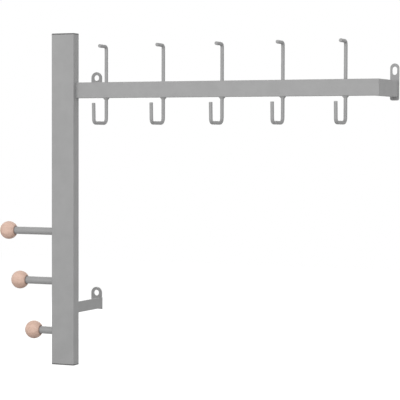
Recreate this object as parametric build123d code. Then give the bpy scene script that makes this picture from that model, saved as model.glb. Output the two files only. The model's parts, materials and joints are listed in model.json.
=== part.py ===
from build123d import *
from math import radians, tan
import os

# Wall coat rack of welded, powder-coated steel: an upright tube post, a side rail with bent-wire
# hooks, three pegs with wooden balls, and sheet brackets that hold it off the wall.
# The origin lies on the wall, midway between the two screws behind the post.
# +X runs along the rail, +Y goes into the wall and +Z is up. Sizes are in millimetres.

# Wall fixing
wall_gap = 102.0
screw_hole = 9.5
sheet = 2.0

# Post
post_width = 40.0
post_depth = 18.0
post_height = 530.0
post_wall = 1.5
post_corner = 1.2
post_over_screw = 67.6
post_under_screw = 108.4

# Caps in the two ends of the post
cap_flange = 2.0
cap_rim = 0.5
spigot_length = 12.0
spigot_wall = 1.6

# Rail and its return to the wall
rail_height = 25.0
rail_depth = 10.0
rail_wall = 1.5
rail_corner = 1.0
rail_drop = 78.1
mitre_edge = 0.8

# Wire hooks
hook_count = 5
hook_pitch = 100.0
hook_margin = 52.0
end_margin = 53.5
wire = 5.5
tip_bend = 5.0
stem_bend = 8.0
prong_bend = 6.0
wire_end_round = 0.9
tip_rise = 56.1
tip_reach = 23.5
cradle_drop = 39.8
prong_reach = 41.5
prong_height = 31.3
prong_lean = 2.0
bead_width = 11.2
bead_height = 3.2
bead_bite = 0.05

# Brackets behind the post
arm_height = 17.5
arm_under_rail_top = 2.0
arm_over_post_end = 92.5
arm_inset = 0.6
ear_width = 19.0
ear_foot = 2.0
fold_inside = 0.6
fold_relief = 0.4
hole_to_arm_face = 11.4

# Plate at the far end of the rail
plate_width = 14.0
plate_shift = 0.8
plate_over_rail = 25.9
plate_under_rail = 5.2
plate_foot_round = 3.0
slot_width = 8.0
slot_length = 12.5
slot_ring = 4.8

# Pegs
peg_lengths = (72.5, 51.5, 25.7)
peg_pitch = 80.0
peg_lowest = 53.6
rod = 12.0
rod_chamfer = 0.5
ball = 29.0
ball_seat = 12.0
stud = 6.0
stud_in_rod = 10.0
stud_in_ball = 10.0
stud_chamfer = 0.6
stud_end_room = 1.0

# Clearance round what slides into a hole or a tube, and how far a cut runs past a face
slip = 0.15
cut_past = 1.0

# Places that follow from the sizes
screw_pitch = post_height - post_over_screw - post_under_screw
arm_face = hole_to_arm_face
post_right = arm_face + arm_inset
post_left = post_right - post_width
post_mid_x = (post_left + post_right) / 2
post_front = -wall_gap
post_back = post_front + post_depth
post_mid_y = (post_front + post_back) / 2
post_top = screw_pitch / 2 + post_over_screw
post_bottom = post_top - post_height
rail_top = post_top - rail_drop
rail_bottom = rail_top - rail_height
rail_back = post_back
rail_front = rail_back - rail_depth
rail_mid_y = (rail_front + rail_back) / 2
rail_end = post_right + hook_margin + (hook_count - 1) * hook_pitch + end_margin
plate_front = -sheet


def box_between(low, high):
    """A box from its lowest to its highest corner."""
    size = Vector(*high) - Vector(*low)
    middle = (Vector(*high) + Vector(*low)) * 0.5
    return Pos(*middle) * Box(size.X, size.Y, size.Z)


def make_post():
    """Rectangular tube, open at both ends, between the flanges of its two caps."""
    outside = RectangleRounded(post_width, post_depth, post_corner)
    inside = Rectangle(post_width - 2 * post_wall, post_depth - 2 * post_wall)
    tube = extrude(outside - inside, amount=post_height - 2 * cap_flange)
    return Pos(post_mid_x, post_mid_y, post_bottom + cap_flange) * tube


def make_cap():
    """Plug for the top of the post: a flush flange and a hollow spigot with a middle web."""
    flange = extrude(RectangleRounded(post_width, post_depth, post_corner), amount=cap_flange)
    flange = fillet(flange.faces().sort_by(Axis.Z)[-1].edges(), cap_rim)
    spigot_x = post_width - 2 * post_wall - 2 * slip
    spigot_y = post_depth - 2 * post_wall - 2 * slip
    ring = Rectangle(spigot_x, spigot_y)
    ring -= Rectangle(spigot_x - 2 * spigot_wall, spigot_y - 2 * spigot_wall)
    ring += Rectangle(spigot_wall, spigot_y - spigot_wall)
    return flange + extrude(ring, amount=-spigot_length)


def make_caps():
    """The top plug, and the same plug turned over in the bottom of the post."""
    cap = make_cap()
    top = Pos(post_mid_x, post_mid_y, post_top - cap_flange) * cap
    bottom = Pos(post_mid_x, post_mid_y, post_bottom + cap_flange) * Rot(180, 0, 0) * cap
    return {"post_top_cap": top, "post_bottom_cap": bottom}


def rail_plan(inset):
    """Plan of the rail and its return, drawn in by the wall thickness for the inside of the tube."""
    inner_x = rail_end - rail_depth + inset
    points = [
        (post_right, rail_front + inset),
        (rail_end - inset, rail_front + inset),
        (rail_end - inset, plate_front),
        (inner_x, plate_front),
        (inner_x, rail_back - inset),
        (post_right, rail_back - inset),
    ]
    return make_face(Polyline(*points, close=True))


def hook_places():
    """X of each hook along the rail."""
    return [post_right + hook_margin + index * hook_pitch for index in range(hook_count)]


def make_rail():
    """Two lengths of tube with rounded edges, welded at a mitre, with a hole pair for each hook."""
    body = Pos(0, 0, rail_bottom) * extrude(rail_plan(0), amount=rail_height)
    outer_edge = body.edges().filter_by(Axis.Z).group_by(Axis.Y)[0].sort_by(Axis.X)[-1]
    body = fillet(outer_edge, mitre_edge)
    flat_faces = body.faces().filter_by(Axis.Z)
    long_edges = [
        edge
        for edge in flat_faces.edges()
        if edge.center().X > post_right + rail_corner and edge.center().Y < plate_front - rail_corner
    ]
    body = fillet(long_edges, rail_corner)
    hollow = extrude(rail_plan(rail_wall), amount=rail_height - 2 * rail_wall)
    body -= Pos(0, 0, rail_bottom + rail_wall) * hollow
    drill = Cylinder(wire / 2 + slip, 2 * rail_height)
    for place in hook_places():
        body -= Pos(place, rail_mid_y, rail_bottom) * drill
    mitre = Plane(origin=(rail_end, rail_front, 0), z_dir=(1, 1, 0))
    return {
        "rail": split(body, bisect_by=mitre, keep=Keep.BOTTOM),
        "rail_return": split(body, bisect_by=mitre, keep=Keep.TOP),
    }


def make_end_plate():
    """Narrow wall plate on the end of the return, round at the top, with an upright slot."""
    top = rail_top + plate_over_rail
    bottom = rail_bottom - plate_under_rail
    middle = rail_end - rail_depth / 2 - plate_shift
    half = plate_width / 2
    blank = Pos(middle, (top - half + bottom) / 2) * Rectangle(plate_width, top - half - bottom)
    foot = blank.vertices().group_by(Axis.Y)[0]
    blank = fillet(foot, plate_foot_round) + Pos(middle, top - half) * Circle(half)
    slot_middle = top - slot_ring - slot_length / 2
    blank -= Pos(middle, slot_middle) * Rot(0, 0, 90) * SlotOverall(slot_length, slot_width)
    return extrude(Plane.XZ * blank, amount=sheet)


def make_bracket(arm_middle, screw_z):
    """Sheet bracket: an arm from the back of the post, folded to lie on the wall, with a round ear."""
    arm_top = arm_middle + arm_height / 2
    arm_bottom = arm_middle - arm_height / 2
    foot = arm_bottom - ear_foot
    half = ear_width / 2
    fold_outside = fold_inside + sheet
    fold_start = arm_face - fold_outside

    # Arm and flange in plan, round the fold
    plan = Polyline(
        (arm_face, post_back),
        (arm_face, 0),
        (-half, 0),
        (-half, -sheet),
        (arm_face - sheet, -sheet),
        (arm_face - sheet, post_back),
        close=True,
    )
    plan = make_face(plan)
    corners = plan.vertices().group_by(Axis.X)
    plan = fillet(corners[-1].sort_by(Axis.Y)[-1], fold_outside)
    inner = plan.vertices().sort_by_distance((arm_face - sheet, -sheet, 0))[0]
    plan = fillet(inner, fold_inside)
    folded = Pos(0, 0, foot) * extrude(plan, amount=arm_top - foot)
    below_arm = box_between(
        (arm_face - sheet - cut_past, post_back - cut_past, foot - cut_past),
        (arm_face + cut_past, -fold_outside, arm_bottom),
    )
    folded -= below_arm

    # Ear over the arm, freed from the fold by a narrow relief cut
    ear = Pos(0, (screw_z + arm_top) / 2) * Rectangle(ear_width, screw_z - arm_top)
    ear += Pos(0, screw_z) * Circle(half)
    relief = Pos(fold_start + half, arm_top + fold_relief / 2) * Rectangle(ear_width, fold_relief)
    ear -= relief
    ear -= Pos(0, screw_z) * Circle(screw_hole / 2)
    return folded + extrude(Plane.XZ * ear, amount=sheet)


def make_brackets():
    """One bracket with its arm hidden behind the rail, and one nearer the post's lower end."""
    upper_arm = rail_top - arm_under_rail_top - arm_height / 2
    lower_arm = post_bottom + arm_over_post_end
    return {
        "upper_wall_bracket": make_bracket(upper_arm, screw_pitch / 2),
        "lower_wall_bracket": make_bracket(lower_arm, -screw_pitch / 2),
    }


def make_hook():
    """Bent wire at X = 0: a forward tip, a stem through the rail, a U cradle, and the weld bead."""
    top = rail_top + tip_rise
    low = rail_bottom - cradle_drop
    prong_y = rail_mid_y - prong_reach
    lean = prong_height * tan(radians(prong_lean))
    route = FilletPolyline(
        (0, rail_mid_y - tip_reach, top),
        (0, rail_mid_y, top),
        (0, rail_mid_y, low),
        (0, prong_y, low),
        (0, prong_y - lean, low + prong_height),
        radius=(tip_bend, stem_bend, prong_bend),
    )
    section = Plane(origin=route @ 0, z_dir=route % 0) * Circle(wire / 2)
    bent = sweep(section, path=route)
    bent = fillet(bent.faces().filter_by(GeomType.PLANE).edges(), wire_end_round)

    # Oval bead with its wide end on the flat underside of the rail and its toe just inside the wire
    rim = Pos(0, 0, rail_bottom) * Ellipse(bead_width / 2, rail_depth / 2 - rail_corner)
    toe = Pos(0, 0, rail_bottom - bead_height) * Circle(wire / 2 - bead_bite)
    bead = loft([rim, toe])
    return bent + Pos(0, rail_mid_y, 0) * bead


def make_hooks():
    """The same bent hook at each place along the rail."""
    hook = make_hook()
    return {f"coat_hook_{index + 1}": Pos(place, 0, 0) * hook for index, place in enumerate(hook_places())}


def make_peg(length, height):
    """A rod on the post's left side, its wooden ball and the stud inside that joins them."""
    along = Pos(post_left, post_mid_y, height) * Rot(0, -90, 0)
    centre = length + ball_seat

    bar = Pos(0, 0, length / 2) * Cylinder(rod / 2, length)
    bar = chamfer(bar.faces().sort_by(Axis.Z)[-1].edges(), rod_chamfer)
    tapped_depth = stud_in_rod + stud_end_room
    bar -= Pos(0, 0, length - tapped_depth / 2) * Cylinder(stud / 2 + slip, tapped_depth)

    bored_depth = stud_in_ball + stud_end_room
    seat_depth = ball / 2 - ball_seat
    wood = Pos(0, 0, centre) * Sphere(ball / 2)
    wood -= Pos(0, 0, length - seat_depth / 2) * Cylinder(rod / 2 + slip, seat_depth)
    wood -= Pos(0, 0, length + bored_depth / 2) * Cylinder(stud / 2 + slip, bored_depth)

    pin_length = stud_in_rod + stud_in_ball
    pin = Cylinder(stud / 2, pin_length)
    pin = chamfer(pin.faces().filter_by(Axis.Z).edges(), stud_chamfer)
    pin = Pos(0, 0, length - stud_in_rod + pin_length / 2) * pin
    return along * bar, along * wood, along * pin


def make_pegs():
    """Pegs from the top down, the longest first."""
    pieces = {}
    count = len(peg_lengths)
    for index, length in enumerate(peg_lengths):
        height = post_bottom + peg_lowest + (count - 1 - index) * peg_pitch
        bar, wood, pin = make_peg(length, height)
        pieces[f"peg_rod_{index + 1}"] = bar
        pieces[f"peg_ball_{index + 1}"] = wood
        pieces[f"ball_stud_{index + 1}"] = pin
    return pieces


def main():
    pieces = {"post": make_post(), "end_wall_plate": make_end_plate()}
    for group in (make_caps(), make_rail(), make_brackets(), make_hooks(), make_pegs()):
        pieces.update(group)
    os.makedirs("parts", exist_ok=True)
    for name, piece in pieces.items():
        export_step(piece, f"parts/{name}.step")


if __name__ == "__main__":
    main()
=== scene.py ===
import json
import math

import bpy
from mathutils import Matrix, Vector

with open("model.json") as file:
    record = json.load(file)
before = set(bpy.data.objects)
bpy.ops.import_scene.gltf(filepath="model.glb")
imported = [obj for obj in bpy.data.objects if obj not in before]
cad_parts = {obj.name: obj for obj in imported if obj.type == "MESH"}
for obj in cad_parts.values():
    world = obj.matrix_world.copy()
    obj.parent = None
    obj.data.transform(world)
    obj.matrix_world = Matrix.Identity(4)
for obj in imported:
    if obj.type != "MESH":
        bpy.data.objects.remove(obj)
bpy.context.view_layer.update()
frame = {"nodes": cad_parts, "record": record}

# Camera: its place in metres in the rack's frame, its angles in degrees
IMAGE_WIDTH_PX = 400
FOCAL_LENGTH_PX = 1663.4
SENSOR_WIDTH_MM = 36.0
CAMERA_PLACE = Vector((1.29270, -2.42612, 0.07539))
CAMERA_TURN_LEFT = 24.505
CAMERA_TILT_DOWN = 2.063
CAMERA_ROLL = 0.159

# Light: each soft lamp has a place, a width and a height in metres, and a power in watts
WORLD_LIGHT = 0.59
LAMP_AIM = Vector((0.2, -0.05, 0.05))
LAMPS = {
    "camera_side_lamp": ((1.0, -2.3, 0.65), 1.6, 1.2, 20.0),
    "front_left_lamp": ((-0.9, -2.5, 0.5), 1.0, 0.8, 11.5),
    "right_lamp": ((2.4, -0.3, 0.1), 1.6, 1.2, 2.4),
    "back_lamp": ((-0.95, 2.4, 0.8), 1.6, 1.2, 18.0),
}

# Floor: one grey for the light it throws back, and a near white for how it is seen
FLOOR_LEVEL = -0.45
FLOOR_HALF_WIDTH = 4.0
FLOOR_GREY = 0.3
FLOOR_ROUGHNESS = 0.9
FLOOR_SEEN_GREY = 0.9
FLOOR_WHITE_SHARE = 0.6
FLOOR_WHITE_STRENGTH = 1.32

# Colours, as linear light, and how rough each surface is
WHITE = (1.0, 1.0, 1.0)
PAINT_GREY = 0.365
PAINT_MOTTLE = 0.012
PAINT_ROUGHNESS = 0.5
CAP_GREY = 0.12
CAP_MOTTLE = 0.0072
CAP_ROUGHNESS = 0.6
STEEL_DARK = 0.442
STEEL_LIGHT = 0.52
STEEL_ROUGHNESS = 0.35
BEECH_LIGHT = (0.865, 0.618, 0.508)
BEECH_DARK = (0.720, 0.500, 0.405)
BEECH_ROUGHNESS = 0.55
BEECH_SHINE = 0.2
FLECK_COLOUR = (0.80, 0.73, 0.69)
# Painted shade: the dark colour of the ring on each ball round the rod, in place of the shade in the
# crease there
RIM_SHADE_COLOUR = (0.27, 0.25, 0.26)

# Patterns: the span of a noise, or of a ball's width, over which one colour turns into another
MOTTLE_SPAN = (0.3, 0.7)
BAND_SPAN = (0.38, 0.68)
FLECK_SPAN = (0.56, 0.70)
# Painted shade ring: the last part of a ball's width, which turns dark round the rod
RIM_SHADE_SPAN = (0.955, 0.995)
NO_STRETCH = (1.0, 1.0, 1.0)
ALONG_GRAIN = (0.1, 1.0, 1.0)
ALONG_STUD = (0.1, 4.0, 4.0)


def opaque(colour):
    """A colour with full cover, as the sockets take it."""
    return (*colour, 1.0)


def grey(value):
    """A neutral colour of that brightness."""
    return (value, value, value)


def new_material(name):
    """A new material, with its node tree and the Principled shader in it."""
    material = bpy.data.materials.new(name)
    material.use_nodes = True
    tree = material.node_tree
    shader = tree.nodes["Principled BSDF"]
    return material, tree, shader


def add_node(tree, kind, inputs=None, **settings):
    """A node with the given settings and socket values."""
    node = tree.nodes.new(kind)
    for key, value in settings.items():
        setattr(node, key, value)
    for key, value in (inputs or {}).items():
        node.inputs[key].default_value = value
    return node


def object_noise(tree, scale, detail, stretch=NO_STRETCH):
    """Noise over the rack's own coordinates, in cycles per metre, drawn out along an axis if asked."""
    place = add_node(tree, "ShaderNodeTexCoord")
    spread = add_node(tree, "ShaderNodeMapping", {"Scale": stretch})
    noise = add_node(tree, "ShaderNodeTexNoise", {"Scale": scale, "Detail": detail})
    tree.links.new(place.outputs["Object"], spread.inputs["Vector"])
    tree.links.new(spread.outputs["Vector"], noise.inputs["Vector"])
    return noise.outputs["Fac"]


def blend(tree, factor, span, first, second):
    """One colour below a span of the factor, another above it, and a smooth change between."""
    ramp = add_node(tree, "ShaderNodeValToRGB")
    for element, position, colour in zip(ramp.color_ramp.elements, span, (first, second)):
        element.position = position
        element.color = opaque(colour)
    tree.links.new(factor, ramp.inputs["Fac"])
    return ramp.outputs["Color"]


def multiply(tree, first, second):
    """One colour darkened by another."""
    tint = add_node(tree, "ShaderNodeMix", {"Factor": 1.0}, data_type="RGBA", blend_type="MULTIPLY")
    tree.links.new(first, tint.inputs["A"])
    tree.links.new(second, tint.inputs["B"])
    return tint.outputs["Result"]


def bump(tree, shader, height, strength, distance):
    """A fine relief in the shading of the surface."""
    relief = add_node(tree, "ShaderNodeBump", {"Strength": strength, "Distance": distance})
    tree.links.new(height, relief.inputs["Height"])
    tree.links.new(relief.outputs["Normal"], shader.inputs["Normal"])


def powder_coat():
    """Light grey satin powder coat, with its faint mottle and orange-peel skin."""
    material, tree, shader = new_material("grey_powder_coat")
    mottle = object_noise(tree, scale=55.0, detail=3.0)
    skin = object_noise(tree, scale=900.0, detail=2.0)
    darker = grey(PAINT_GREY - PAINT_MOTTLE)
    lighter = grey(PAINT_GREY + PAINT_MOTTLE)
    tree.links.new(blend(tree, mottle, MOTTLE_SPAN, darker, lighter), shader.inputs["Base Color"])
    shader.inputs["Roughness"].default_value = PAINT_ROUGHNESS
    bump(tree, shader, skin, strength=0.12, distance=0.0003)
    return material


def cap_plastic():
    """Grey moulded plastic of the two plugs, darker than the paint."""
    material, tree, shader = new_material("grey_cap_plastic")
    grain = object_noise(tree, scale=700.0, detail=2.0)
    darker = grey(CAP_GREY - CAP_MOTTLE)
    lighter = grey(CAP_GREY + CAP_MOTTLE)
    tree.links.new(blend(tree, grain, MOTTLE_SPAN, darker, lighter), shader.inputs["Base Color"])
    shader.inputs["Roughness"].default_value = CAP_ROUGHNESS
    bump(tree, shader, grain, strength=0.15, distance=0.0002)
    return material


def stud_steel():
    """Plain drawn steel of the studs inside the balls."""
    material, tree, shader = new_material("stud_steel")
    lines = object_noise(tree, scale=300.0, detail=2.0, stretch=ALONG_STUD)
    colour = blend(tree, lines, MOTTLE_SPAN, grey(STEEL_DARK), grey(STEEL_LIGHT))
    tree.links.new(colour, shader.inputs["Base Color"])
    shader.inputs["Metallic"].default_value = 1.0
    shader.inputs["Roughness"].default_value = STEEL_ROUGHNESS
    return material


def painted_rim_shade(tree):
    """Painted shade: white over the ball, and dark in the last part of its width, where the rod goes
    in, standing in for the shade in the crease round the rod.
    """
    place = add_node(tree, "ShaderNodeTexCoord")
    along = add_node(tree, "ShaderNodeSeparateXYZ")
    tree.links.new(place.outputs["Generated"], along.inputs["Vector"])
    return blend(tree, along.outputs["X"], RIM_SHADE_SPAN, WHITE, RIM_SHADE_COLOUR)


def beech():
    """Oiled beech: pinkish, with soft growth bands, ray flecks and a painted dark ring of shade round
    the rod.
    """
    material, tree, shader = new_material("oiled_beech")
    bands = object_noise(tree, scale=170.0, detail=3.0, stretch=ALONG_GRAIN)
    flecks = object_noise(tree, scale=1900.0, detail=1.0, stretch=ALONG_GRAIN)
    wood = blend(tree, bands, BAND_SPAN, BEECH_LIGHT, BEECH_DARK)
    flecked = multiply(tree, wood, blend(tree, flecks, FLECK_SPAN, WHITE, FLECK_COLOUR))
    # The wood colour is darkened by a painted ring of shade round the rod
    tree.links.new(multiply(tree, flecked, painted_rim_shade(tree)), shader.inputs["Base Color"])
    shader.inputs["Roughness"].default_value = BEECH_ROUGHNESS
    shader.inputs["Specular IOR Level"].default_value = BEECH_SHINE
    bump(tree, shader, flecks, strength=0.08, distance=0.0002)
    return material


def dress_nodes():
    """Each CAD piece takes the look of its material slot in the record."""
    looks = {
        "grey_paint": powder_coat(),
        "cap_plastic": cap_plastic(),
        "beech": beech(),
        "stud_steel": stud_steel(),
    }
    for subpart in frame["record"]["subparts"]:
        piece = frame["nodes"][subpart["node"]]
        for slot in piece.material_slots:
            slot.material = looks[subpart["material_slot"]]


def seen_directly(tree):
    """1 for rays from the camera, straight, by reflection or through glass, and 0 for rays of light."""
    path = add_node(tree, "ShaderNodeLightPath")
    seen = path.outputs["Is Camera Ray"]
    for name in ("Is Glossy Ray", "Is Transmission Ray"):
        either = add_node(tree, "ShaderNodeMath", operation="MAXIMUM")
        tree.links.new(seen, either.inputs[0])
        tree.links.new(path.outputs[name], either.inputs[1])
        seen = either.outputs["Value"]
    return seen


def choose(tree, factor, at_zero, at_one):
    """One shader where the factor is 0 and another where it is 1."""
    mix = add_node(tree, "ShaderNodeMixShader")
    tree.links.new(factor, mix.inputs["Fac"])
    tree.links.new(at_zero, mix.inputs[1])
    tree.links.new(at_one, mix.inputs[2])
    return mix.outputs["Shader"]


def light_world():
    """Soft light from all round, with a white background for what is seen directly."""
    world = bpy.data.worlds.new("studio")
    bpy.context.scene.world = world
    world.use_nodes = True
    tree = world.node_tree
    soft = tree.nodes["Background"]
    soft.inputs["Color"].default_value = opaque(WHITE)
    soft.inputs["Strength"].default_value = WORLD_LIGHT
    white = add_node(tree, "ShaderNodeBackground", {"Color": opaque(WHITE), "Strength": 1.0})
    sky = choose(tree, seen_directly(tree), soft.outputs["Background"], white.outputs["Background"])
    tree.links.new(sky, tree.nodes["World Output"].inputs["Surface"])


def add_area_light(name, place, width, height, power):
    """A rectangular lamp at a place, turned towards the rack."""
    data = bpy.data.lights.new(name, "AREA")
    data.shape = "RECTANGLE"
    data.size = width
    data.size_y = height
    data.energy = power
    lamp = bpy.data.objects.new(name, data)
    lamp.location = place
    lamp.rotation_euler = (LAMP_AIM - place).to_track_quat("-Z", "Y").to_euler()
    bpy.context.scene.collection.objects.link(lamp)


def pale_floor():
    """Near white where it is seen, with the rack's shadow, grey for light, and clear from below."""
    material, tree, shader = new_material("pale_floor")
    shader.inputs["Base Color"].default_value = opaque(grey(FLOOR_GREY))
    shader.inputs["Roughness"].default_value = FLOOR_ROUGHNESS
    matt = add_node(tree, "ShaderNodeBsdfDiffuse", {"Color": opaque(grey(FLOOR_SEEN_GREY))})
    glow = {"Color": opaque(WHITE), "Strength": FLOOR_WHITE_STRENGTH}
    white = add_node(tree, "ShaderNodeEmission", glow)
    pale = add_node(tree, "ShaderNodeMixShader", {"Fac": FLOOR_WHITE_SHARE})
    tree.links.new(matt.outputs["BSDF"], pale.inputs[1])
    tree.links.new(white.outputs["Emission"], pale.inputs[2])
    upper = choose(tree, seen_directly(tree), shader.outputs["BSDF"], pale.outputs["Shader"])

    side = add_node(tree, "ShaderNodeNewGeometry")
    clear = add_node(tree, "ShaderNodeBsdfTransparent")
    both = choose(tree, side.outputs["Backfacing"], upper, clear.outputs["BSDF"])
    tree.links.new(both, tree.nodes["Material Output"].inputs["Surface"])
    return material


def add_floor():
    """A square floor below the rack."""
    edge = FLOOR_HALF_WIDTH
    corners = [(-edge, -edge), (edge, -edge), (edge, edge), (-edge, edge)]
    mesh = bpy.data.meshes.new("floor")
    mesh.from_pydata([(x, y, FLOOR_LEVEL) for x, y in corners], [], [(0, 1, 2, 3)])
    mesh.materials.append(pale_floor())
    floor = bpy.data.objects.new("floor", mesh)
    bpy.context.scene.collection.objects.link(floor)


def add_camera():
    """The photograph's view: from beyond the rail's end, a little above the middle of the post."""
    turn = math.radians(CAMERA_TURN_LEFT)
    tilt = math.radians(CAMERA_TILT_DOWN)
    roll = math.radians(CAMERA_ROLL)
    level_share = math.cos(tilt)
    forward = Vector((-math.sin(turn) * level_share, math.cos(turn) * level_share, -math.sin(tilt)))
    level = Vector((math.cos(turn), math.sin(turn), 0.0))
    upright = level.cross(forward)
    across = level * math.cos(roll) + upright * math.sin(roll)
    up = upright * math.cos(roll) - level * math.sin(roll)
    turned = Matrix((across, up, -forward)).transposed().to_4x4()

    data = bpy.data.cameras.new("camera")
    data.sensor_fit = "HORIZONTAL"
    data.sensor_width = SENSOR_WIDTH_MM
    data.lens = FOCAL_LENGTH_PX / IMAGE_WIDTH_PX * SENSOR_WIDTH_MM
    camera = bpy.data.objects.new("camera", data)
    camera.matrix_world = Matrix.Translation(CAMERA_PLACE) @ turned
    bpy.context.scene.collection.objects.link(camera)
    bpy.context.scene.camera = camera


bpy.context.scene.view_settings.view_transform = "Standard"
dress_nodes()
light_world()
for lamp_name, (place, width, height, power) in LAMPS.items():
    add_area_light(lamp_name, Vector(place), width, height, power)
add_floor()
add_camera()
